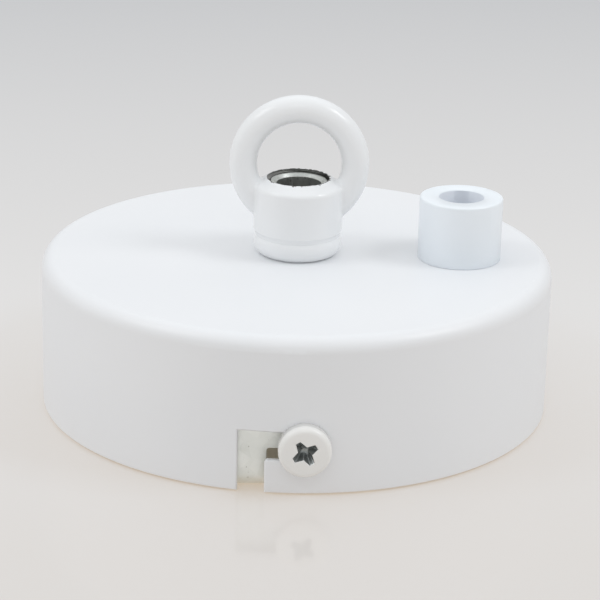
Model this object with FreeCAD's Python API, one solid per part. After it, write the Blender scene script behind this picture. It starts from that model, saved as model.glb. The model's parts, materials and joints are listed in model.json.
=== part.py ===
import FreeCAD, Part
import math
import os

# Electrical ceiling rose standing on its bracket, hanging eye upward.
# The origin is the centre of the ceiling plane, +Z leaves the ceiling and
# the bracket lies along Y. Sizes are in millimetres, angles in degrees.

# Canopy cup
canopy_diameter = 80.0
canopy_height = 24.0
canopy_sheet = 0.8
top_edge_radius = 2.2
rim_chamfer = 0.15
rim_to_ceiling = 0.25

# Bayonet slots and their two screws
bayonet_turn = 11.2
bayonet_screw_size = 4.0
bayonet_screw_length = 10.0
screw_axis_height = 7.5
entry_play = 0.0
track_play = 0.3
tongue_corner_radius = 0.45
slot_edge_radius = 0.25
head_gap = 0.1

# Hanging eye
eye_body_diameter = 13.95
eye_body_height = 12.15
eye_foot_diameter = 13.9
eye_foot_inset = 1.3
eye_foot_height = 3.1
eye_bead_radius = 1.5
eye_shoulder_radius = 0.8
eye_shoulder_slope = 30.0
ring_inner_diameter = 13.1
ring_wire_diameter = 4.35
ring_centre_height = 14.4
ring_root_fillet = 0.5

# Threaded tube, lock nuts and tooth washers
tube_thread = 10.0
tube_bore = 7.0
tube_recess = 0.45
tube_mouth_chamfer = 0.47
lock_nut_flats = 14.0
lock_nut_height = 3.0
tooth_washer_diameter = 17.0
tooth_washer_thickness = 0.9
tooth_count = 12
thread_overrun = 1.5

# Cord grip
grip_from_wall = 14.6
grip_diameter = 13.0
grip_height = 9.95
grip_bore = 7.0
grip_edge_radius = 0.3
grip_chamfer = 0.12
clamp_screw_size = 4.0
clamp_screw_length = 4.0
clamp_screw_depth = 4.4

# Ceiling bracket
bracket_width = 22.0
bracket_sheet = 1.2
bracket_bend_radius = 2.1
bracket_gap = 0.3
tab_height = 13.5
tab_corner_radius = 3.0
ceiling_slot_spacing = 43.0
ceiling_slot_length = 11.0
ceiling_slot_width = 5.0
window_width = 2.0
window_from_axis = 5.4
window_corner_radius = 0.4

# Earth terminal on the bracket
earth_screw_size = 4.0
earth_position_x = 6.4
earth_from_tab = 5.1
earth_washer_thickness = 1.0

# Terminal block
pole_count = 3
pole_pitch = 9.5
pole_width = 5.4
pole_length = 16.0
pole_height = 7.5
chimney_diameter = 6.0
chimney_height = 4.0
web_height = 3.2
terminal_diameter = 4.2
terminal_length = 14.0
terminal_height = 3.6
wire_bore = 2.8
terminal_screw_size = 3.0
terminal_screw_offset = 4.0
block_screw_size = 2.0

# Clearances shared by the fits
thread_gap = 0.05
hole_gap = 0.1

# How far the eye's ring and the cord grip stand from square to the bracket
eye_turn = -2.45
grip_turn = -4.55

# Places that follow from the sizes
canopy_radius = canopy_diameter / 2
canopy_inner_radius = canopy_radius - canopy_sheet
ceiling_under = canopy_height - canopy_sheet
slot_track_height = bayonet_screw_size + track_play
slot_entry_width = bayonet_screw_size + entry_play
screw_hole_radius = bayonet_screw_size / 2 - thread_gap / 2
tab_face = math.sqrt((canopy_inner_radius - bracket_gap) ** 2 - (bracket_width / 2) ** 2)
tab_back = tab_face - bracket_sheet
earth_position_y = -(tab_back - earth_from_tab)
grip_offset = canopy_radius - grip_from_wall
collar_radius = bayonet_screw_size / 2 + 1.1
collar_height = bracket_sheet + 0.6
tube_end_height = ceiling_under - tooth_washer_thickness - lock_nut_height - thread_overrun
eye_top = canopy_height + eye_body_height
terminal_axis = bracket_sheet + terminal_height
terminal_top = terminal_axis + terminal_diameter / 2
block_half_length = (pole_count - 1) * pole_pitch / 2

V = FreeCAD.Vector
ORIGIN = V(0, 0, 0)
X = V(1, 0, 0)
Y = V(0, 1, 0)
Z = V(0, 0, 1)


def outline_face(start, steps):
    # A closed face in the XZ plane. Each step is the end of a straight side,
    # or the middle and the end of an arc.
    edges = []
    first = V(start[0], 0, start[1])
    last = first
    for step in steps:
        end = V(step[-2], 0, step[-1])
        if len(step) == 4:
            middle = V(step[0], 0, step[1])
            edges.append(Part.Arc(last, middle, end).toShape())
        else:
            edges.append(Part.makeLine(last, end))
        last = end
    edges.append(Part.makeLine(last, first))
    return Part.Face(Part.Wire(edges))


def arc_step(centre, radius, from_angle, to_angle):
    # The middle and the end of an arc about a centre
    middle = math.radians((from_angle + to_angle) / 2)
    end = math.radians(to_angle)
    return (
        centre[0] + radius * math.cos(middle),
        centre[1] + radius * math.sin(middle),
        centre[0] + radius * math.cos(end),
        centre[1] + radius * math.sin(end),
    )


def turned(start, steps):
    # A solid turned about Z
    return outline_face(start, steps).revolve(ORIGIN, Z, 360)


def upright_hole(radius, x, y, bottom, top):
    return Part.makeCylinder(radius, top - bottom, V(x, y, bottom))


def placed(shape, x, y, z, turn=0.0):
    copy = shape.copy()
    copy.rotate(ORIGIN, Z, turn)
    copy.translate(V(x, y, z))
    return copy


def on_grip_axis(shape, z):
    # A fitting of the cord grip, turned with it and set on its axis
    angle = math.radians(grip_turn)
    return placed(shape, grip_offset * math.cos(angle), grip_offset * math.sin(angle), z, grip_turn)


def bayonet_slot():
    # The L-shaped cutter of the front slot: an entry leg from the rim, then a
    # track that runs round to the screw
    track_bottom = screw_axis_height - slot_track_height / 2
    track_top = screw_axis_height + slot_track_height / 2
    inside = canopy_radius - 3
    outside = canopy_radius + 3
    section = outline_face(
        (inside, track_bottom),
        [(outside, track_bottom), (outside, track_top), (inside, track_top)],
    )
    track = section.revolve(ORIGIN, Z, bayonet_turn)
    track.rotate(ORIGIN, Z, -90 - bayonet_turn)
    closed_end = Part.makeCylinder(slot_track_height / 2, 6, V(0, -outside, screw_axis_height), Y)
    entry = Part.makeBox(slot_entry_width, 6, track_top + 1, V(-slot_entry_width / 2, -outside, -1))
    entry.rotate(ORIGIN, Z, -bayonet_turn)
    cutter = track.fuse([closed_end, entry]).removeSplitter()
    tongue_x = -canopy_radius * math.sin(math.radians(bayonet_turn)) + slot_entry_width / 2
    corners = []
    for edge in cutter.Edges:
        middle = edge.CenterOfMass
        on_track_floor = abs(middle.z - track_bottom) < 1e-6
        radial = edge.Length > 5 and edge.Curve.TypeId == "Part::GeomLine"
        if on_track_floor and radial and abs(middle.x - tongue_x) < 0.5:
            corners.append(edge)
    return cutter.makeFillet(tongue_corner_radius, corners)


def slot_outer_edges(cup):
    # The edges of both slots on the outside of the wall, which the coat leaves round
    slot_top = screw_axis_height + slot_track_height / 2
    edges = []
    for edge in cup.Edges:
        box = edge.BoundBox
        middle = edge.valueAt((edge.FirstParameter + edge.LastParameter) / 2)
        on_outside = abs(math.hypot(middle.x, middle.y) - canopy_radius) < 0.01
        in_slot = rim_to_ceiling + rim_chamfer + 0.01 < middle.z < slot_top + 0.01
        if on_outside and in_slot and math.hypot(box.XLength, box.YLength) < canopy_radius / 2:
            edges.append(edge)
    return edges


def canopy_cup():
    corner = (canopy_radius - top_edge_radius, canopy_height - top_edge_radius)
    inner_edge_radius = top_edge_radius - canopy_sheet
    cup = turned(
        (0, canopy_height),
        [
            (corner[0], canopy_height),
            arc_step(corner, top_edge_radius, 90, 0),
            (canopy_radius, rim_to_ceiling + rim_chamfer),
            (canopy_radius - rim_chamfer, rim_to_ceiling),
            (canopy_inner_radius + rim_chamfer, rim_to_ceiling),
            (canopy_inner_radius, rim_to_ceiling + rim_chamfer),
            (canopy_inner_radius, corner[1]),
            arc_step(corner, inner_edge_radius, 0, 90),
            (0, ceiling_under),
        ],
    )
    fitting_radius = tube_thread / 2 + hole_gap
    tube_hole = upright_hole(fitting_radius, 0, 0, ceiling_under - 1, canopy_height + 1)
    grip_hole = on_grip_axis(upright_hole(fitting_radius, 0, 0, -1, canopy_sheet + 1), ceiling_under)
    front_slot = bayonet_slot()
    rear_slot = placed(front_slot, 0, 0, 0, 180)
    cup = cup.cut([tube_hole, grip_hole, front_slot, rear_slot])
    return cup.makeFillet(slot_edge_radius, slot_outer_edges(cup))


def ring_nipple():
    body_radius = eye_body_diameter / 2
    foot_radius = eye_foot_diameter / 2
    bore_radius = tube_thread / 2
    bead_end = 35
    bead_height = eye_foot_height - eye_bead_radius * math.sin(math.radians(bead_end))
    bead = (foot_radius - eye_bead_radius, bead_height)
    waist_radius = bead[0] + eye_bead_radius * math.cos(math.radians(bead_end))
    rise = math.radians(90 - eye_shoulder_slope)
    slope_end = body_radius - eye_shoulder_radius * (1 - math.cos(rise))
    slope_drop = (slope_end - bore_radius) / math.tan(rise)
    shoulder_height = eye_body_height - slope_drop - eye_shoulder_radius * math.sin(rise)
    shoulder = (body_radius - eye_shoulder_radius, shoulder_height)
    body = turned(
        (bore_radius, 0),
        [
            (foot_radius - eye_foot_inset, 0),
            (foot_radius - 0.22 * eye_foot_inset, 0.42 * bead_height, foot_radius, bead_height),
            arc_step(bead, eye_bead_radius, 0, bead_end),
            (waist_radius + 0.07, eye_foot_height + 0.4, body_radius, eye_foot_height + 0.9),
            (body_radius, shoulder_height),
            arc_step(shoulder, eye_shoulder_radius, 0, 90 - eye_shoulder_slope),
            (bore_radius, eye_body_height),
        ],
    )
    wire_radius = ring_wire_diameter / 2
    ring_radius = ring_inner_diameter / 2 + wire_radius
    ring = Part.makeTorus(ring_radius, wire_radius, V(0, 0, ring_centre_height), Y)
    bore = upright_hole(bore_radius, 0, 0, -1, eye_body_height + 1)
    nipple = body.fuse(ring).cut(bore)
    roots = []
    for edge in nipple.Edges:
        below_shoulder = eye_foot_height + 1.2 < edge.CenterOfMass.z < shoulder_height
        outside_bore = edge.BoundBox.XLength < body_radius and abs(edge.CenterOfMass.x) > bore_radius + 1
        if below_shoulder and outside_bore and edge.Curve.TypeId == "Part::GeomBSplineCurve":
            roots.append(edge)
    nipple = nipple.makeFillet(ring_root_fillet, roots)
    return placed(nipple, 0, 0, canopy_height, eye_turn)


def threaded_tube():
    outer = tube_thread / 2 - thread_gap
    inner = tube_bore / 2
    top = eye_top - tube_recess
    chamfer = 0.6
    return turned(
        (inner, tube_end_height),
        [
            (outer - chamfer, tube_end_height),
            (outer, tube_end_height + chamfer),
            (outer, top - chamfer),
            (outer - chamfer, top),
            (inner + tube_mouth_chamfer, top),
            (inner, top - tube_mouth_chamfer),
        ],
    )


def lock_nut():
    corner = lock_nut_flats / 2 / math.cos(math.radians(30))
    points = []
    for index in range(7):
        angle = math.radians(60 * index)
        points.append(V(corner * math.cos(angle), corner * math.sin(angle), 0))
    prism = Part.Face(Part.makePolygon(points)).extrude(V(0, 0, lock_nut_height))
    rise = (corner - lock_nut_flats / 2) * math.tan(math.radians(30))
    envelope = turned(
        (tube_thread / 2, 0),
        [
            (lock_nut_flats / 2, 0),
            (corner, rise),
            (corner, lock_nut_height - rise),
            (lock_nut_flats / 2, lock_nut_height),
            (tube_thread / 2, lock_nut_height),
        ],
    )
    return prism.common(envelope)


def tooth_washer():
    radius = tooth_washer_diameter / 2
    washer = turned(
        (tube_thread / 2 + hole_gap, 0),
        [(radius, 0), (radius, tooth_washer_thickness), (tube_thread / 2 + hole_gap, tooth_washer_thickness)],
    )
    half_step = math.radians(180 / tooth_count)
    root = radius * 0.8
    mouth = radius * 1.1
    notch = Part.Face(
        Part.makePolygon(
            [
                V(root, -root * half_step * 0.3, 0),
                V(mouth, -mouth * half_step * 0.6, 0),
                V(mouth, mouth * half_step * 0.6, 0),
                V(root, root * half_step * 0.3, 0),
                V(root, -root * half_step * 0.3, 0),
            ]
        )
    ).extrude(V(0, 0, tooth_washer_thickness))
    notches = []
    for index in range(tooth_count):
        notches.append(placed(notch, 0, 0, 0, 360 * index / tooth_count))
    return washer.cut(notches)


def cord_grip():
    # The gripping cylinder with its threaded shank below, origin on the canopy's top
    radius = grip_diameter / 2
    bore = grip_bore / 2
    shank_radius = tube_thread / 2 - thread_gap
    shank_end = tube_end_height - canopy_height
    edge = grip_edge_radius
    body = turned(
        (bore, shank_end),
        [
            (shank_radius - 0.6, shank_end),
            (shank_radius, shank_end + 0.6),
            (shank_radius, 0),
            (radius - grip_chamfer, 0),
            (radius, grip_chamfer),
            (radius, grip_height - edge),
            arc_step((radius - edge, grip_height - edge), edge, 0, 90),
            (bore + grip_chamfer, grip_height),
            (bore, grip_height - grip_chamfer),
        ],
    )
    clamp_axis_height = grip_height - clamp_screw_depth
    clamp_hole = Part.makeCylinder(clamp_screw_size / 2, radius + 1, V(0, 0, clamp_axis_height), Y)
    return body.cut(clamp_hole)


def grub_screw(size, length):
    # A slotted headless screw lying on +Y, its tip at the origin
    radius = size / 2 - thread_gap
    screw = turned(
        (0, 0),
        [(radius - 0.5, 0), (radius, 0.5), (radius, length - 0.3), (radius - 0.3, length), (0, length)],
    )
    slot = Part.makeBox(size, size * 0.2, size * 0.3, V(-size / 2, -size * 0.1, length - size * 0.3))
    screw = screw.cut(slot)
    screw.rotate(ORIGIN, X, -90)
    return screw


def recess_star(span, z):
    # The four-armed outline of a cross recess at one depth
    tip = span / 2
    points = []
    for quarter in range(4):
        turn = FreeCAD.Rotation(Z, 90 * quarter)
        for x, y in ((tip, -0.2 * tip), (tip, 0.2 * tip), (0.38 * tip, 0.38 * tip)):
            points.append(turn.multVec(V(x, y, 0)) + V(0, 0, z))
    return Part.makePolygon(points + points[:1])


def cross_recess(span, depth, top):
    # The cutter of a cross recess, which narrows towards its bottom
    mouth = recess_star(1.04 * span, top + 0.1)
    bottom = recess_star(0.36 * span, top - depth)
    return Part.makeLoft([mouth, bottom], True, True)


def pan_screw(size, length, recess_turn):
    # A pan-head screw with a cross recess, standing on Z with its seat at z = 0
    shank = size / 2 - 1.5 * thread_gap
    head = 0.97 * size
    height = 0.6 * size
    side = 0.6 * height
    crown = 0.96 * height
    screw = turned(
        (0, -length),
        [
            (shank - 0.5, -length),
            (shank, -length + 0.5),
            (shank, 0),
            (head, 0),
            (head, side),
            (0.95 * head, side + 0.66 * (crown - side), 0.78 * head, crown),
            (0.4 * head, 0.988 * height, 0, height),
        ],
    )
    recess = cross_recess(1.04 * size, 0.8 * height, height)
    recess.rotate(ORIGIN, Z, recess_turn)
    return screw.cut(recess)


def cheese_screw(size, length):
    # A slotted cheese-head screw standing on Z with its seat at z = 0
    shank = size / 2 - thread_gap
    head = size * 0.667
    height = 0.6 * size
    screw = turned(
        (0, -length),
        [(shank - 0.3, -length), (shank, -length + 0.3), (shank, 0), (head, 0), (head, height - 0.15),
         (head - 0.15, height), (0, height)],
    )
    width = 0.27 * size
    slot = Part.makeBox(4 * head, width, 0.5 * height, V(-2 * head, -width / 2, 0.5 * height))
    return screw.cut(slot)


def bayonet_screw(recess_turn):
    # The front bayonet screw, its head just clear of the canopy wall
    screw = pan_screw(bayonet_screw_size, bayonet_screw_length, recess_turn)
    screw.rotate(ORIGIN, X, 90)
    screw.translate(V(0, -canopy_radius - head_gap, screw_axis_height))
    return screw


def ceiling_slot(y):
    reach = (ceiling_slot_length - ceiling_slot_width) / 2
    radius = ceiling_slot_width / 2
    ends = []
    for end in (y - reach, y + reach):
        ends.append(upright_hole(radius, 0, end, -1, bracket_sheet + 1))
    middle = Part.makeBox(ceiling_slot_width, 2 * reach, bracket_sheet + 2, V(-radius, y - reach, -1))
    return middle.fuse(ends)


def ceiling_bracket():
    bend = bracket_bend_radius
    bend_y = tab_face - bend
    inner = bend - bracket_sheet
    section = outline_face(
        (-tab_face, tab_height),
        [
            (-tab_face, bend),
            arc_step((-bend_y, bend), bend, 180, 270),
            (bend_y, 0),
            arc_step((bend_y, bend), bend, 270, 360),
            (tab_face, tab_height),
            (tab_back, tab_height),
            (tab_back, bend),
            arc_step((bend_y, bend), inner, 360, 270),
            (-bend_y, bracket_sheet),
            arc_step((-bend_y, bend), inner, 270, 180),
            (-tab_back, tab_height),
        ],
    )
    strip = section.extrude(V(0, bracket_width, 0))
    strip.translate(V(0, -bracket_width / 2, 0))
    strip.rotate(ORIGIN, Z, 90)
    corners = []
    for edge in strip.Edges:
        middle = edge.CenterOfMass
        if abs(middle.z - tab_height) < 1e-6 and abs(edge.Length - bracket_sheet) < 1e-6:
            corners.append(edge)
    strip = strip.makeFillet(tab_corner_radius, corners)
    through_both_tabs = 2 * tab_face + 2
    hole_start = V(0, -through_both_tabs / 2, screw_axis_height)
    cutters = [Part.makeCylinder(screw_hole_radius, through_both_tabs, hole_start, Y)]
    collars = []
    window_top = screw_axis_height - 1.2
    window_bottom = bend + 0.3
    for side in (-1, 1):
        collar_start = V(0, side * tab_back, screw_axis_height)
        collars.append(Part.makeCylinder(collar_radius, collar_height, collar_start, V(0, -side, 0)))
        cutters.append(ceiling_slot(side * ceiling_slot_spacing / 2))
        cutters.append(upright_hole(block_screw_size / 2, 0, side * pole_pitch / 2, -1, bracket_sheet + 1))
        for hand in (-1, 1):
            window_x = hand * window_from_axis - (window_width if hand > 0 else 0)
            corner = V(window_x, side * tab_face - 3, window_bottom)
            window = Part.makeBox(window_width, 6, window_top - window_bottom, corner)
            through = [edge for edge in window.Edges if abs(edge.Length - 6) < 1e-6]
            cutters.append(window.makeFillet(window_corner_radius, through))
    earth_place = V(earth_position_x, earth_position_y, bracket_sheet)
    collars.append(Part.makeCylinder(earth_screw_size / 2 + 1.1, collar_height, earth_place))
    earth_radius = earth_screw_size / 2 - thread_gap / 2
    cutters.append(upright_hole(earth_radius, earth_position_x, earth_position_y, -1, bracket_sheet + 5))
    return strip.fuse(collars).cut(cutters).removeSplitter()


def earth_washer():
    hole = earth_screw_size / 2 + hole_gap
    radius = earth_screw_size * 1.1
    thickness = earth_washer_thickness
    washer = turned(
        (hole, 0),
        [(radius - 0.2, 0), (radius, 0.2), (radius, thickness - 0.2), (radius - 0.2, thickness), (hole, thickness)],
    )
    return placed(washer, earth_position_x, earth_position_y, bracket_sheet + collar_height)


def earth_screw():
    seat = bracket_sheet + collar_height + earth_washer_thickness
    screw = pan_screw(earth_screw_size, seat, 12)
    return placed(screw, earth_position_x, earth_position_y, seat)


def pole_positions():
    return [index * pole_pitch - block_half_length for index in range(pole_count)]


def terminal_housing():
    # One moulding: a tower over each terminal, two screw chimneys on it, webs between
    towers = []
    cutters = []
    rise = pole_height + chimney_height
    for y in pole_positions():
        corner = V(-pole_length / 2, y - pole_width / 2, bracket_sheet)
        tower = Part.makeBox(pole_length, pole_width, pole_height, corner)
        uprights = [edge for edge in tower.Edges if abs(edge.Length - pole_height) < 1e-6]
        towers.append(tower.makeFillet(0.6, uprights))
        terminal_start = V(-pole_length, y, terminal_axis)
        cutters.append(Part.makeCylinder(terminal_diameter / 2 + thread_gap, 2 * pole_length, terminal_start, X))
        for x in (-terminal_screw_offset, terminal_screw_offset):
            chimney_foot = bracket_sheet + pole_height - 1
            chimney = upright_hole(chimney_diameter / 2, x, y, chimney_foot, bracket_sheet + rise)
            towers.append(chimney)
            screw_way = terminal_screw_size * 0.667 + 2 * hole_gap
            cutters.append(upright_hole(screw_way, x, y, terminal_axis, bracket_sheet + rise + 1))
    web_corner = V(-pole_length / 4, -block_half_length, bracket_sheet)
    web = Part.makeBox(pole_length / 2, 2 * block_half_length, web_height, web_corner)
    for side in (-1, 1):
        screw_hole = block_screw_size / 2 + hole_gap
        cutters.append(upright_hole(screw_hole, 0, side * pole_pitch / 2, 0, bracket_sheet + web_height + 1))
    return web.fuse(towers).cut(cutters).removeSplitter()


def brass_terminal(y):
    start = V(-terminal_length / 2, y, terminal_axis)
    terminal = Part.makeCylinder(terminal_diameter / 2, terminal_length, start, X)
    cutters = [Part.makeCylinder(wire_bore / 2, terminal_length, start, X)]
    for x in (-terminal_screw_offset, terminal_screw_offset):
        cutters.append(upright_hole(terminal_screw_size / 2, x, y, terminal_axis, terminal_top + 1))
    return terminal.cut(cutters)


def terminal_screw(x, y):
    # Set with its tip at the top of the wire bore
    tip = terminal_axis + wire_bore / 2
    seat = terminal_top + 1.7
    return placed(cheese_screw(terminal_screw_size, seat - tip), x, y, seat, 30 + 11 * x + 7 * y)


def block_screws():
    seat = bracket_sheet + web_height
    screw = placed(cheese_screw(block_screw_size, seat - 0.1), 0, 0, seat, 25)
    screws = [placed(screw, 0, side * pole_pitch / 2, 0) for side in (-1, 1)]
    return Part.makeCompound(screws)


nodes = {
    "canopy_cup": canopy_cup(),
    "ring_nipple": ring_nipple(),
    "threaded_tube": threaded_tube(),
    "ceiling_bracket": ceiling_bracket(),
    "bayonet_screw_front": bayonet_screw(33),
    "bayonet_screw_rear": placed(bayonet_screw(64), 0, 0, 0, 180),
    "earth_screw": earth_screw(),
    "earth_washer": earth_washer(),
    "terminal_housing": terminal_housing(),
    "block_screws": block_screws(),
    "cord_grip": on_grip_axis(cord_grip(), canopy_height),
}

washer_seat = ceiling_under - tooth_washer_thickness
nut_seat = washer_seat - lock_nut_height
nodes["tube_tooth_washer"] = placed(tooth_washer(), 0, 0, washer_seat)
nodes["tube_lock_nut"] = placed(lock_nut(), 0, 0, nut_seat, 17)
nodes["grip_tooth_washer"] = on_grip_axis(tooth_washer(), washer_seat)
nodes["grip_lock_nut"] = on_grip_axis(lock_nut(), nut_seat)

clamp_screw = grub_screw(clamp_screw_size, clamp_screw_length)
clamp_screw.translate(V(0, grip_bore / 2 + hole_gap, grip_height - clamp_screw_depth))
nodes["cord_clamp_screw"] = on_grip_axis(clamp_screw, canopy_height)

for pole, pole_y in enumerate(pole_positions(), start=1):
    nodes[f"brass_terminal_{pole}"] = brass_terminal(pole_y)
    nodes[f"terminal_screw_{pole}_left"] = terminal_screw(-terminal_screw_offset, pole_y)
    nodes[f"terminal_screw_{pole}_right"] = terminal_screw(terminal_screw_offset, pole_y)

os.makedirs("parts", exist_ok=True)
for name, shape in nodes.items():
    shape.exportStep(f"parts/{name}.step")
    print(name, "solids", len(shape.Solids), "volume", round(shape.Volume, 1), "valid", shape.isValid())
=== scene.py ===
# %% [markdown]
# # Electrical ceiling rose
# A ceiling rose hides the wiring where a lamp hangs from the ceiling. This one is a white steel cup
# with a hanging eye in its middle and a plastic cord grip beside it. Two bayonet slots in the wall
# hook onto the screws of a ceiling bracket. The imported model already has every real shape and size,
# so this lesson gives it light, a camera, finishes, and the threads that turn a plain shank into a
# screw.

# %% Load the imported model
import bmesh
import bpy
import json
import math
from mathutils import Matrix, Vector


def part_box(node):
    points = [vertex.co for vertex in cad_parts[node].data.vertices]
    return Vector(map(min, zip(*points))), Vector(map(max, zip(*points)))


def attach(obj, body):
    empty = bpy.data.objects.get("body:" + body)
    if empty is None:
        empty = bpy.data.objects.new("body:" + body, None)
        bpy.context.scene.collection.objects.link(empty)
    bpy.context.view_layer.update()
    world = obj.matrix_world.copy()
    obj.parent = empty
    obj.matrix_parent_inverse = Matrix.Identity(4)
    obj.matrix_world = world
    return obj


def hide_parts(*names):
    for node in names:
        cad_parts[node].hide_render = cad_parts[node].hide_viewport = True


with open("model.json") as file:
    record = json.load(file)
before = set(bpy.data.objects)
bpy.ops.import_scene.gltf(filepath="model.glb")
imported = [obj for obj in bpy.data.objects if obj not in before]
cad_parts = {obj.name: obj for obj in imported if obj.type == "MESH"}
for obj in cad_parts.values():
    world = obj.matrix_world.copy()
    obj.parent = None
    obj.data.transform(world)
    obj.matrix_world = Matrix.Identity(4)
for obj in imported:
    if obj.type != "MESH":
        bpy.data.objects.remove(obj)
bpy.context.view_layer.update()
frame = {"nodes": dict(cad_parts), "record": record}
scene = bpy.context.scene
MM = 0.001

# %% [markdown]
# ## The camera
# A long lens about 0.38 m away flattens the cup's ellipse the way a product photograph does. The
# camera could be aimed with a constraint, but a place, an aim point and a small roll say the same
# in three plain values.

# %% Camera
camera_place = Vector((-15.42, -355.81, 141.594)) * MM
camera_aim = Vector((0.68, 1.204, 15.472)) * MM
camera_roll = math.radians(1.382)

lens = bpy.data.cameras.new("camera")
lens.sensor_width = 36
lens.lens = 142.98
lens.clip_start = 0.01
camera = bpy.data.objects.new("camera", lens)
scene.collection.objects.link(camera)
camera.rotation_mode = "QUATERNION"
camera.location = camera_place
aim_turn = (camera_aim - camera_place).to_track_quat("-Z", "Y")
camera.rotation_quaternion = aim_turn @ Matrix.Rotation(camera_roll, 3, "Z").to_quaternion()
scene.camera = camera
print("camera to aim point, mm", round((camera_aim - camera_place).length / MM, 1))

# %% [markdown]
# ## Building with nodes
# Every finish below is a small network of nodes. These helpers add a node and wire it in one line.
# The patterns read Object coordinates, so a grain keeps its size in millimetres and stays on its
# piece when the piece moves.

# %% Node helpers
def add(tree, kind, inputs=None, **settings):
    node = tree.nodes.new(kind)
    for key, value in settings.items():
        setattr(node, key, value)
    for key, value in (inputs or {}).items():
        if isinstance(value, bpy.types.NodeSocket):
            tree.links.new(value, node.inputs[key])
        else:
            node.inputs[key].default_value = value
    return node


def start_finish(name):
    material = bpy.data.materials.new(name)
    material.use_nodes = True
    tree = material.node_tree
    place = add(tree, "ShaderNodeTexCoord").outputs["Object"]
    return material, tree, tree.nodes["Principled BSDF"], place


def wire(tree, shader, **sockets):
    names = {"colour": "Base Color", "roughness": "Roughness", "metallic": "Metallic",
             "normal": "Normal"}
    for key, value in sockets.items():
        tree.links.new(value, shader.inputs[names[key]])


print("node helpers ready")

# %% Pattern helpers
# A noise crowds round one half, so one of these ranges is stretched to the whole effect
narrow, usual, broad = (0.35, 0.65), (0.3, 0.7), (0.2, 0.8)


def grain(tree, place, size_mm, detail=2.0, roughness=0.5):
    inputs = {"Vector": place, "Scale": 1 / (size_mm * MM), "Detail": detail,
              "Roughness": roughness}
    return add(tree, "ShaderNodeTexNoise", inputs).outputs["Fac"]


def cells(tree, place, size_mm):
    pattern = add(tree, "ShaderNodeTexVoronoi", {"Vector": place, "Scale": 1 / (size_mm * MM)})
    lot = add(tree, "ShaderNodeSeparateColor", {0: pattern.outputs["Color"]}).outputs[0]
    return lot, pattern.outputs["Distance"]


def spread(tree, value, from_low, from_high, to_low=0.0, to_high=1.0):
    inputs = {"Value": value, "From Min": from_low, "From Max": from_high,
              "To Min": to_low, "To Max": to_high}
    return add(tree, "ShaderNodeMapRange", inputs).outputs["Result"]


def under(tree, value, low_mm, high_mm):
    return spread(tree, value, low_mm * MM, high_mm * MM, 1.0, 0.0)


def combine(tree, first, second, operation="ADD"):
    return add(tree, "ShaderNodeMath", {0: first, 1: second}, operation=operation).outputs[0]


def between(tree, share, first, second):
    inputs = {0: share, 6: first, 7: second}
    return add(tree, "ShaderNodeMix", inputs, data_type="RGBA").outputs[2]


def relief(tree, height, depth_mm):
    inputs = {"Height": height, "Distance": depth_mm * MM, "Strength": 1.0}
    return add(tree, "ShaderNodeBump", inputs).outputs["Normal"]


print("pattern helpers ready")

# %% [markdown]
# ## White powder coat
# The cup is sprayed with dry powder and baked, which leaves a satin skin with a faint orange peel
# about a millimetre across. A flat white would look like paper. A weak bump gives the peel, and a
# slow noise shifts the gloss a little, as a baked coat does. Tiny specks stand for dust caught in
# the oven.

# %% Powder coat
drift_mm, gloss_mm, dust_mm = 22, 9, 7
dust_lots, dust_edge = (0.90, 0.91), (0.012, 0.022)
dust_colour = (0.42, 0.40, 0.37, 1)
peel_depth = 0.012


def white_coat(name, pale, shade, peel_mm, gloss):
    material, tree, shader, place = start_finish(name)
    drift = spread(tree, grain(tree, place, drift_mm, 1.0), *narrow)
    colour = between(tree, drift, (*shade, 1), (*pale, 1))
    lot, distance = cells(tree, place, dust_mm)
    chosen = spread(tree, lot, *dust_lots)
    near = spread(tree, distance, *dust_edge, 1.0, 0.0)
    speck = combine(tree, chosen, near, "MULTIPLY")
    colour = between(tree, speck, colour, dust_colour)
    rough = spread(tree, grain(tree, place, gloss_mm, 1.0), *broad, *gloss)
    normal = relief(tree, grain(tree, place, peel_mm, 1.5, 0.4), peel_depth)
    return material, tree, shader, place, colour, rough, normal


cup_white, tree, shader, place, colour, rough, normal = white_coat(
    "white_powder_coat", (0.862, 0.872, 0.888), (0.848, 0.860, 0.878), 1.3, (0.34, 0.42))
wire(tree, shader, colour=colour, roughness=rough, normal=normal)
print("made", cup_white.name)

# %% [markdown]
# ## Coated eye with a bare thread
# The eye is a casting, coated before its bore was cut, so the thread inside is bare steel and
# the coat ends in a ragged line on the rim. The bare steel gets a near-black colour that also paints
# the shade deep in the bore. The line could be cut into the mesh, but a distance from the eye's axis,
# shaken by noise, draws the same ragged edge and lets it differ all the way round.

# %% Ragged edges
coat_softness = 0.03


def ragged(tree, distance, place, edge_mm, shake_mm, size_mm):
    noise = grain(tree, place, size_mm, 3.0, 0.6)
    chips = spread(tree, noise, *usual, -shake_mm * MM, shake_mm * MM)
    shaken = combine(tree, distance, chips)
    return under(tree, shaken, edge_mm - coat_softness, edge_mm + coat_softness)


def from_axis(tree, place, keep):
    inputs = {0: place, 1: keep}
    flat = add(tree, "ShaderNodeVectorMath", inputs, operation="MULTIPLY").outputs[0]
    return add(tree, "ShaderNodeVectorMath", {0: flat}, operation="LENGTH").outputs["Value"]


print("ragged edge ready")

# %% Eye finish
eye_rim = 36.15
coat_edge = 4.8
bore_radius = 5.0
chip_edge, chip_shake, chip_mm = coat_edge + 0.12, 0.34, 0.75
bore_skin = (bore_radius + 0.03, bore_radius + 0.04)
rim_skin = (eye_rim - 0.07, eye_rim - 0.05)
ring_foot = (eye_rim + 0.05, eye_rim + 0.06)
thread_metal, thread_grain_mm = 0.8, 0.4
# Near-black steel colours, darker than bare steel, partly painted shade in the bore
thread_steel_and_shade_dark, thread_steel_and_shade_light = (0.10, 0.10, 0.095, 1), (0.24, 0.24, 0.225, 1)

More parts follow.
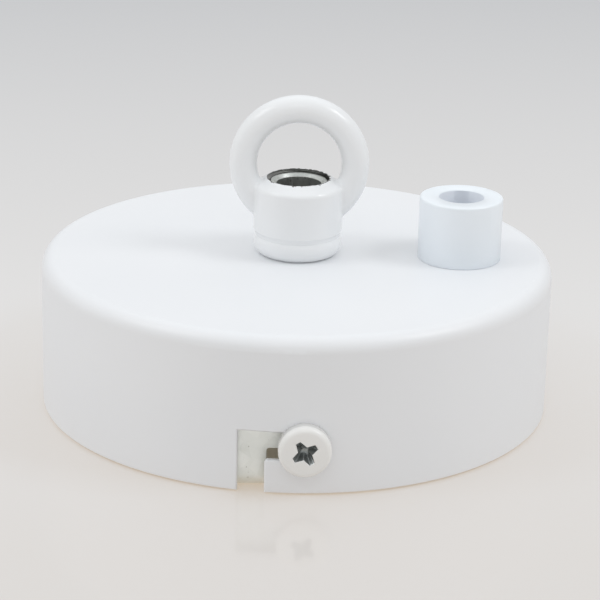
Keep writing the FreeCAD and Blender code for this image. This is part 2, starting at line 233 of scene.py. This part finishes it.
eye_white, tree, shader, place, colour, rough, normal = white_coat(
    "white_coat_on_casting", (0.878, 0.890, 0.900), (0.866, 0.880, 0.892), 1.7, (0.17, 0.24))
from_eye_axis = from_axis(tree, place, (1, 1, 0))
height = add(tree, "ShaderNodeSeparateXYZ", {0: place}).outputs["Z"]
chipped = ragged(tree, from_eye_axis, place, chip_edge, chip_shake, chip_mm)
in_bore = under(tree, from_eye_axis, *bore_skin)
under_rim = under(tree, height, *rim_skin)
bare_and_painted_shade = combine(tree, chipped, combine(tree, in_bore, under_rim, "MULTIPLY"), "MAXIMUM")
below_ring = under(tree, height, *ring_foot)
bare_and_painted_shade = combine(tree, bare_and_painted_shade, below_ring, "MULTIPLY")
# Bare places take the dark steel: real bare metal, darkened as painted shade
bare_steel_and_painted_shade = between(tree, grain(tree, place, thread_grain_mm), thread_steel_and_shade_dark, thread_steel_and_shade_light)
wire(tree, shader, colour=between(tree, bare_and_painted_shade, colour, bare_steel_and_painted_shade), normal=normal,
     metallic=spread(tree, bare_and_painted_shade, 0, 1, 0, thread_metal), roughness=rough)
print("made", eye_white.name)

# %% [markdown]
# ## Coated screw with a bare recess
# The bayonet screws were painted after they were made, and a driver has since knocked the paint out
# of the cross recess. How far a point lies below the crown of the head tells paint from steel, and
# noise breaks the edge up. The bare steel there is coloured dark, which also paints the shade inside
# the recess.

# %% Screw finish
screw_axis_height = 7.5
head_crown = 42.5
recess_radius, recess_shake, recess_chip_mm = 2.0, 0.12, 0.5
paint_depth, paint_shake, paint_chip_mm = 0.24, 0.06, 0.4
recess_metal, recess_grain_mm = 0.7, 0.5
# Recess steel colours are dark partly as painted shade inside the recess
recess_steel_and_shade_dark, recess_steel_and_shade_light = (0.24, 0.26, 0.26, 1), (0.42, 0.44, 0.435, 1)

screw_white, tree, shader, place, colour, rough, normal = white_coat(
    "white_coat_on_screw", (0.868, 0.862, 0.842), (0.852, 0.846, 0.826), 0.8, (0.17, 0.24))
drop = {0: place, 1: (0, 0, -screw_axis_height * MM)}
lowered = add(tree, "ShaderNodeVectorMath", drop).outputs[0]
from_centre = from_axis(tree, lowered, (1, 0, 1))
depthways = {0: place, 1: (0, 1, 0)}
along = add(tree, "ShaderNodeVectorMath", depthways, operation="DOT_PRODUCT").outputs["Value"]
outward = add(tree, "ShaderNodeMath", {0: along}, operation="ABSOLUTE").outputs[0]
in_recess = ragged(tree, from_centre, place, recess_radius, recess_shake, recess_chip_mm)
below_crown = ragged(tree, outward, place, head_crown - paint_depth, paint_shake, paint_chip_mm)
bare_and_painted_shade = combine(tree, in_recess, below_crown, "MULTIPLY")
# The bare recess takes the dark steel: real bare metal plus painted shade
bare_steel_and_painted_shade = between(tree, grain(tree, place, recess_grain_mm), recess_steel_and_shade_dark, recess_steel_and_shade_light)
wire(tree, shader, colour=between(tree, bare_and_painted_shade, colour, bare_steel_and_painted_shade), normal=normal,
     metallic=spread(tree, bare_and_painted_shade, 0, 1, 0, recess_metal), roughness=rough)
print("made", screw_white.name)

# %% [markdown]
# ## Matt plastics
# The cord grip is a cool white moulding with a fine spark-eroded skin, and its bore gets a greyer
# copy of the finish as painted shade. Its clamp screw is plain nylon, and the terminal block is a
# milky polyamide. All of them are one recipe: a soft shift of colour, a fine grain in the bump and a
# rough shader.

# %% Plastics
flow_mm, skin_depth = 6, 0.006


def matt_plastic(name, pale, shade, grain_mm, gloss):
    material, tree, shader, place = start_finish(name)
    flow = spread(tree, grain(tree, place, flow_mm, 2.0), *narrow)
    skin = grain(tree, place, grain_mm, 3.0, 0.6)
    wire(tree, shader, colour=between(tree, flow, (*shade, 1), (*pale, 1)),
         roughness=spread(tree, skin, *usual, *gloss), normal=relief(tree, skin, skin_depth))
    print("made", name)
    return material


grip_white = matt_plastic("cool_white_plastic", (0.885, 0.930, 0.972), (0.871, 0.919, 0.961),
                          0.35, (0.28, 0.38))
# A greyer copy of the grip plastic, painted shade for the inside of the bore
grip_bore_painted_shade = matt_plastic("grip_bore_painted_shade_plastic", (0.785, 0.82, 0.875), (0.75, 0.785, 0.84),
                         0.35, (0.40, 0.52))
nylon_white = matt_plastic("natural_nylon", (0.84, 0.845, 0.83), (0.79, 0.795, 0.775),
                           0.5, (0.36, 0.48))
block_white = matt_plastic("milky_polyamide", (0.80, 0.80, 0.765), (0.755, 0.755, 0.715),
                           0.45, (0.40, 0.52))

# %% [markdown]
# ## Zinc, plate and brass
# The bracket is hot-dip galvanised strip: dull, faintly spangled, with small dark flecks. The nuts,
# washers and tube wear a bright electroplate, and the terminals are bare brass with a little
# tarnish. Metals need a rough shader and uneven colour more than they need a picture, so each is a
# few noises.

# %% Metals
spangle_weight, cloud_weight, cloud_scale = 0.35, 0.65, 1.7
fleck_mm, fleck_range = 0.9, (0.66, 0.74)
wear_depth = 0.004


def worn_metal(name, bright, dull, spot, gloss, spangle_mm, streak=(1, 1, 1)):
    material, tree, shader, place = start_finish(name)
    shader.inputs["Metallic"].default_value = 1.0
    drawn = add(tree, "ShaderNodeMapping", {"Vector": place, "Scale": streak}).outputs[0]
    spangle, _ = cells(tree, drawn, spangle_mm)
    cloud = grain(tree, drawn, spangle_mm * cloud_scale, 4.0, 0.65)
    mixed = combine(tree, combine(tree, spangle, spangle_weight, "MULTIPLY"),
                    combine(tree, cloud, cloud_weight, "MULTIPLY"))
    colour = between(tree, spread(tree, mixed, *usual), (*dull, 1), (*bright, 1))
    fleck = spread(tree, grain(tree, place, fleck_mm, 3.0, 0.7), *fleck_range)
    wire(tree, shader, colour=between(tree, fleck, colour, (*spot, 1)),
         roughness=spread(tree, mixed, *usual, *gloss), normal=relief(tree, cloud, wear_depth))
    print("made", name)
    return material


zinc = worn_metal("galvanised_zinc", (0.94, 0.97, 0.95), (0.87, 0.90, 0.875),
                  (0.55, 0.55, 0.51), (0.52, 0.42), 2.2)
plate = worn_metal("bright_zinc_plate", (0.80, 0.81, 0.80), (0.68, 0.69, 0.67),
                   (0.42, 0.41, 0.38), (0.36, 0.26), 1.2, (1, 1, 0.25))
cut_end = worn_metal("sawn_tube_end", (0.72, 0.74, 0.71), (0.60, 0.62, 0.59),
                     (0.40, 0.40, 0.37), (0.44, 0.34), 0.7)
brass = worn_metal("bare_brass", (0.80, 0.62, 0.30), (0.66, 0.47, 0.20),
                   (0.40, 0.26, 0.11), (0.40, 0.28), 1.6)

# %% [markdown]
# ## Handing the finishes out
# Each node of the model names a material slot in its record. One loop gives every node the finish
# that belongs to its slot, so a new node gets a finish as soon as its slot is in the table.

# %% Finishes to nodes
finishes = {
    "canopy_paint": cup_white,
    "eye_paint": eye_white,
    "screw_paint": screw_white,
    "grip_plastic": grip_white,
    "clamp_screw_plastic": nylon_white,
    "galvanised_sheet": zinc,
    "plated_steel": plate,
    "brass_parts": brass,
    "terminal_plastic": block_white,
}
slot_of = {part["node"]: part["material_slot"] for part in frame["record"]["subparts"]}
for node, model in frame["nodes"].items():
    model.material_slots[0].material = finishes[slot_of[node]]
print("finished nodes", len(slot_of))

# %% [markdown]
# ## Threads
# A thread is one small ridge, spun round the shank while it climbs. A screw modifier would do it
# too, but the spin operator climbs by itself when it is given a step along the axis, and its faces
# can be worked on at once. The shell is cut flat at both ends and tapered there, as a die or a tap
# leaves it. A negative depth turns the ridge inward, for the thread inside a bore.

# %% One thread
UP = (0, 0, 1)
merge_distance = 0.002 * MM
steps_per_turn = 40


def slice_off(bm, place, facing, clear="clear_inner"):
    everything = bm.verts[:] + bm.edges[:] + bm.faces[:]
    bmesh.ops.bisect_plane(bm, geom=everything, plane_co=place, plane_no=facing, **{clear: True})


def thread_shell(crest, depth, pitch, low, high, tapers):
    turns = math.ceil((high - low) / pitch) + 2
    root = crest - depth
    # Each corner of the ridge is a radius and a share of the pitch
    ridge = [(root, 0.0), (root, 0.12), (crest, 0.43), (crest, 0.57), (root, 0.88), (root, 1.0)]
    bm = bmesh.new()
    corners = [bm.verts.new((radius * MM, 0, (low + (share - 1) * pitch) * MM))
               for radius, share in ridge]
    sides = [bm.edges.new(pair) for pair in zip(corners, corners[1:])]
    bmesh.ops.spin(bm, geom=corners + sides, axis=UP, cent=(0, 0, 0),
                   dvec=(0, 0, pitch * MM / steps_per_turn),
                   angle=math.tau * turns, steps=steps_per_turn * turns)
    bmesh.ops.remove_doubles(bm, verts=bm.verts, dist=merge_distance)
    slice_off(bm, (0, 0, low * MM), UP)
    slice_off(bm, (0, 0, high * MM), UP, "clear_outer")
    outward = math.copysign(1, depth)
    for height, end_radius in tapers:
        for vert in bm.verts:
            radius = vert.co.xy.length
            limit = end_radius * MM + outward * abs(vert.co.z - height * MM)
            if outward * (radius - limit) > 0:
                vert.co.xy *= limit / radius
    return bm


print("thread maker ready")

# %% Rings
level_slack = 0.001 * MM
circle_points = 64


def end_loop(bm, height):
    ends = [edge for edge in bm.edges if edge.is_boundary]
    return [edge for edge in ends
            if all(abs(vert.co.z - height * MM) < level_slack for vert in edge.verts)]


def circle(bm, radius, height):
    place_at = Matrix.Translation((0, 0, height * MM))
    ring = bmesh.ops.create_circle(bm, segments=circle_points, radius=radius * MM,
                                   matrix=place_at)["verts"]
    return list({edge for vert in ring for edge in vert.link_edges})


def bearing(vert):
    return math.atan2(vert.co.y, vert.co.x)


def zip_rings(bm, first, second):
    # Walks round two rings together and closes the gap with triangles
    rings = [sorted({vert for edge in ring for vert in edge.verts}, key=bearing)
             for ring in (first, second)]
    last = [ring[-1] for ring in rings]
    walk = [(bearing(vert), side, vert) for side in (0, 1) for vert in rings[side]]
    faces = []
    for _, side, vert in sorted(walk, key=lambda step: step[:2]):
        faces.append(bm.faces.new((last[side], vert, last[1 - side])))
        last[side] = vert
    return faces


def zip_chain(bm, rings):
    return [zip_rings(bm, first, second) for first, second in zip(rings, rings[1:])]


print("ring tools ready")

# %% Pieces
sharp_angle = math.radians(32)


def copy_of(node):
    bm = bmesh.new()
    bm.from_mesh(frame["nodes"][node].data)
    bmesh.ops.remove_doubles(bm, verts=bm.verts, dist=merge_distance)
    return bm


def take_in(bm, other):
    scratch = bpy.data.meshes.new("scratch")
    other.to_mesh(scratch)
    other.free()
    bm.from_mesh(scratch)
    bpy.data.meshes.remove(scratch)


def make_piece(name, shells, coats, body, slot, *nodes):
    whole = bmesh.new()
    for index, shell in enumerate(shells):
        for face in shell.faces:
            face.material_index += index
            face.smooth = True
        take_in(whole, shell)
    bmesh.ops.remove_doubles(whole, verts=whole.verts, dist=merge_distance)
    bmesh.ops.recalc_face_normals(whole, faces=whole.faces)
    open_edges = sum(1 for edge in whole.edges if edge.is_boundary)
    mesh = bpy.data.meshes.new(name)
    whole.to_mesh(mesh)
    whole.free()
    mesh.set_sharp_from_angle(angle=sharp_angle)
    for coat in coats:
        mesh.materials.append(coat)
    piece = bpy.data.objects.new(name, mesh)
    scene.collection.objects.link(piece)
    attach(piece, body)
    if nodes:
        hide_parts(*nodes)
    triangles = sum(len(face.vertices) - 2 for face in mesh.polygons)
    print(name, "triangles", triangles, "open edges", open_edges)


print("piece maker ready")

# %% [markdown]
# ## The hollow tube
# The eye screws onto a hollow tube with a fine M10 thread, whose bare end shows in the eye's bore.
# The thread shell gives its outside and three circles give the bore with its chamfered mouth.
# Zipping each ring to the next closes the piece, and the sawn end gets a finish of its own.

# %% Threaded tube
tube_low, tube_high = (corner.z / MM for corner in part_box("threaded_tube"))
tube_crest, tube_depth, tube_pitch = 4.95, 0.55, 1.0
tube_end, tube_mouth, tube_bore = 4.35, 3.97, 3.5

tube = thread_shell(tube_crest, tube_depth, tube_pitch, tube_low, tube_high,
                    ((tube_low, tube_end), (tube_high, tube_end)))
sawn_end, mouth, *_ = zip_chain(tube, [
    end_loop(tube, tube_high),
    circle(tube, tube_mouth, tube_high),
    circle(tube, tube_bore, tube_high - (tube_mouth - tube_bore)),
    circle(tube, tube_bore, tube_low),
    end_loop(tube, tube_low),
])
for face in sawn_end + mouth:
    face.material_index = 1
make_piece("threaded_tube_cut", [tube], [plate, cut_end], "canopy", "plated_steel", "threaded_tube")

# %% [markdown]
# ## Screws
# Each screw keeps the head that the model gives it, with the recess where it belongs. A copy of the
# node is cut off under its head, and a threaded shank takes the place of the plain one. The painted
# screws have bright plate on the shank, and the others have one finish all over.

# %% Screws with cut threads
overlap = 0.02
thread_share = 0.6
tip_step = 0.05


def head_of(node, seat, outward):
    bm = copy_of(node)
    slice_off(bm, Vector(seat) * MM - Vector(outward) * overlap * MM, outward)
    bmesh.ops.contextual_create(bm, geom=[edge for edge in bm.edges if edge.is_boundary])
    return bm


def cut_screw(node, body, seat, outward, thread, length, slot, coat, shank_coat):
    crest, pitch = thread
    depth = thread_share * pitch
    tip = (-length, crest - depth - tip_step)
    shank = thread_shell(crest, depth, pitch, -length, -overlap, (tip,))
    for height in (-length, -overlap):
        bmesh.ops.contextual_create(shank, geom=end_loop(shank, height))
    turn = Vector(UP).rotation_difference(Vector(outward)).to_matrix().to_4x4()
    place_at = Matrix.Translation(Vector(seat) * MM) @ turn
    bmesh.ops.transform(shank, matrix=place_at, verts=shank.verts)
    shells = [head_of(node, seat, outward), shank]
    make_piece(node + "_cut", shells, [coat, shank_coat], body, slot, node)


wall_face, bayonet_length = 40.1, 10.0
m4_thread = (1.925, 0.7)
for node, body, side in (("bayonet_screw_front", "front_screw", -1),
                         ("bayonet_screw_rear", "rear_screw", 1)):
    cut_screw(node, body, (0, side * wall_face, screw_axis_height), (0, side, 0), m4_thread,
              bayonet_length, "screw_paint", screw_white, plate)

# %% Earth screw and terminal screws
def seat_under(low, high, head_height):
    return (low.x + high.x) / 2, (low.y + high.y) / 2, high.z - head_height


earth_low, earth_high = (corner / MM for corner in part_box("earth_screw"))
earth_head = 2.4
earth_seat = seat_under(earth_low, earth_high, earth_head)
cut_screw("earth_screw", "earth_screw", earth_seat, UP, m4_thread,
          earth_seat[2] - earth_low.z, "brass_parts", brass, brass)

m3_thread = (1.45, 0.5)
terminal_head, terminal_reach = 1.8, 2.4
for pole in (1, 2, 3):
    for side in ("left", "right"):
        node = f"terminal_screw_{pole}_{side}"
        low, high = (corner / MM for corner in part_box(node))
        cut_screw(node, node, seat_under(low, high, terminal_head), UP, m3_thread,
                  terminal_reach, "plated_steel", plate, plate)

# %% [markdown]
# ## The cord grip's shank
# The grip's shank carries the same fine thread as the tube, and a nut pulls it tight inside the cup.
# The moulded cylinder is kept from the model and cut off just inside the cup. Then the bore is drawn
# down with a greyer finish that paints the shade inside it, and the thread is zipped on.

# %% Threaded grip
grip_cut = 22.9
bore_or_shank = 4.2
bore_slack = 0.05
grip_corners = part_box("cord_grip")
grip_low = grip_corners[0].z / MM
grip_middle = (grip_corners[0] + grip_corners[1]) / 2
grip_axis = Vector((grip_middle.x, grip_middle.y, 0))

grip = copy_of("cord_grip")
bmesh.ops.translate(grip, vec=-grip_axis, verts=grip.verts)
slice_off(grip, (0, 0, grip_cut * MM), UP)
cut_edges = end_loop(grip, grip_cut)
bore_edges = [edge for edge in cut_edges if edge.verts[0].co.xy.length < bore_or_shank * MM]
shank_edges = [edge for edge in cut_edges if edge not in bore_edges]
before = set(grip.edges)
take_in(grip, thread_shell(tube_crest, tube_depth, tube_pitch, grip_low, grip_cut,
                           ((grip_low, tube_end),)))
thread_top = [edge for edge in end_loop(grip, grip_cut) if edge not in before]
thread_foot = end_loop(grip, grip_low)
bore_foot = circle(grip, tube_bore, grip_low)
zip_rings(grip, shank_edges, thread_top)
zip_chain(grip, [bore_edges, bore_foot, thread_foot])
# Faces in the bore get the greyer finish, painted shade inside the bore
for face in grip.faces:
    if all(vert.co.xy.length < (tube_bore + bore_slack) * MM for vert in face.verts):
        face.material_index = 1
bmesh.ops.translate(grip, vec=grip_axis, verts=grip.verts)
make_piece("cord_grip_cut", [grip], [grip_white, grip_bore_painted_shade], "canopy", "grip_plastic", "cord_grip")

# %% [markdown]
# ## The thread in the eye's bore
# Above the tube's end the last of the eye's own thread shows, opened by a small chamfer. It is an
# inside thread, so its ridge points to the axis. A circle sunk in the casting closes the shell at
# both ends.

# %% Bore thread
rim_gap, chamfer_step = 0.02, 0.05
thread_low, thread_high = tube_high, eye_rim - rim_gap
bore_crest, bore_depth, sunk_radius = 4.46, -0.57, 5.06

bore = thread_shell(bore_crest, bore_depth, tube_pitch, thread_low, thread_high,
                    ((thread_high, coat_edge - chamfer_step),))
zip_chain(bore, [
    end_loop(bore, thread_high),
    circle(bore, sunk_radius, thread_high),
    circle(bore, sunk_radius, thread_low),
    end_loop(bore, thread_low),
])
make_piece("eye_bore_thread", [bore], [eye_white], "canopy", "eye_paint")

# %% [markdown]
# ## Floor and backdrop
# The rose stands on a pale, glossy table that runs back out of sight. One large sheet does it. The
# sheet glows a little by itself under a thin cool skin that takes the light and the shadows. The glow
# is painted light: a warm emission that lifts and warms the shadows, and it is weaker far back.

# %% Floor
floor_reach = 3.0
floor_drop = 0.02

sheet = bmesh.new()
bmesh.ops.create_grid(sheet, x_segments=1, y_segments=1, size=floor_reach)
floor_mesh = bpy.data.meshes.new("floor")
sheet.to_mesh(floor_mesh)
sheet.free()
floor = bpy.data.objects.new("floor", floor_mesh)
floor.location.z = -floor_drop * MM
scene.collection.objects.link(floor)
print("floor ready")

# %% Table finish
front_y, middle_y, far_y = -0.06, 0.03, 0.30
# Painted glow colours: warm emission that lifts the table's shadows, dimmer far back
front_painted_glow, middle_painted_glow = (0.405, 0.31, 0.215, 1), (0.42, 0.345, 0.27, 1)
far_painted_glow = (0.20, 0.155, 0.115, 1)

table_top, tree, skin, place = start_finish("pale_table")
skin.inputs["Base Color"].default_value = (0.28, 0.355, 0.43, 1)
skin.inputs["Roughness"].default_value = 0.10
away = add(tree, "ShaderNodeSeparateXYZ", {0: place}).outputs["Y"]
glow = between(tree, spread(tree, away, front_y, middle_y), front_painted_glow, middle_painted_glow)
glow = between(tree, spread(tree, away, middle_y, far_y), glow, far_painted_glow)
# Painted light: the sheet emits light though it is no lamp
painted_glow_emission = add(tree, "ShaderNodeEmission", {"Color": glow, "Strength": 1.0})
both = add(tree, "ShaderNodeAddShader", {0: skin.outputs[0], 1: painted_glow_emission.outputs[0]})
tree.links.new(both.outputs[0], tree.nodes["Material Output"].inputs["Surface"])
floor_mesh.materials.append(table_top)
print("made", table_top.name)

# %% [markdown]
# ## Studio light
# A white object on white needs light that wraps round it. An even world light fills every shadow,
# and a large panel overhead makes the top the brightest face. Two small panels to the left and right
# cast the soft shadows beside the eye and the grip, a low wide one lifts the left flank of the wall,
# and a weak one in front draws the highlights.

# %% Lights
def panel(name, place_mm, aim_mm, size_mm, watts, colour):
    light = bpy.data.lights.new(name, "AREA")
    light.shape = "RECTANGLE"
    light.size = size_mm[0] * MM
    light.size_y = size_mm[1] * MM
    light.energy = watts
    light.color = colour
    lamp = bpy.data.objects.new(name, light)
    lamp.location = Vector(place_mm) * MM
    lamp.rotation_mode = "QUATERNION"
    lamp.rotation_quaternion = (Vector(aim_mm) - Vector(place_mm)).to_track_quat("-Z", "Y")
    lamp.visible_camera = False
    scene.collection.objects.link(lamp)


world = bpy.data.worlds.new("studio")
scene.world = world
world.use_nodes = True
fill = world.node_tree.nodes["Background"]
fill.inputs["Color"].default_value = (0.98, 0.99, 1.0, 1)
fill.inputs["Strength"].default_value = 0.675

at_top, at_wall = (0, 0, 20), (0, 0, 15)
cool, near_white = (0.93, 0.97, 1.0), (0.97, 0.985, 1.0)
panel("panel_overhead", (0, 120, 700), at_top, (900, 900), 0.86, cool)
panel("panel_left", (-560, 40, 240), at_wall, (600, 400), 0.31, near_white)
panel("panel_front_left", (-460, -120, 520), at_wall, (240, 240), 0.54, near_white)
panel("panel_front", (-60, -480, 520), at_top, (160, 160), 0.13, near_white)
panel("panel_right", (460, -110, 520), at_wall, (240, 240), 0.93, near_white)
scene.view_settings.view_transform = "Standard"
print("lights", len(bpy.data.lights))
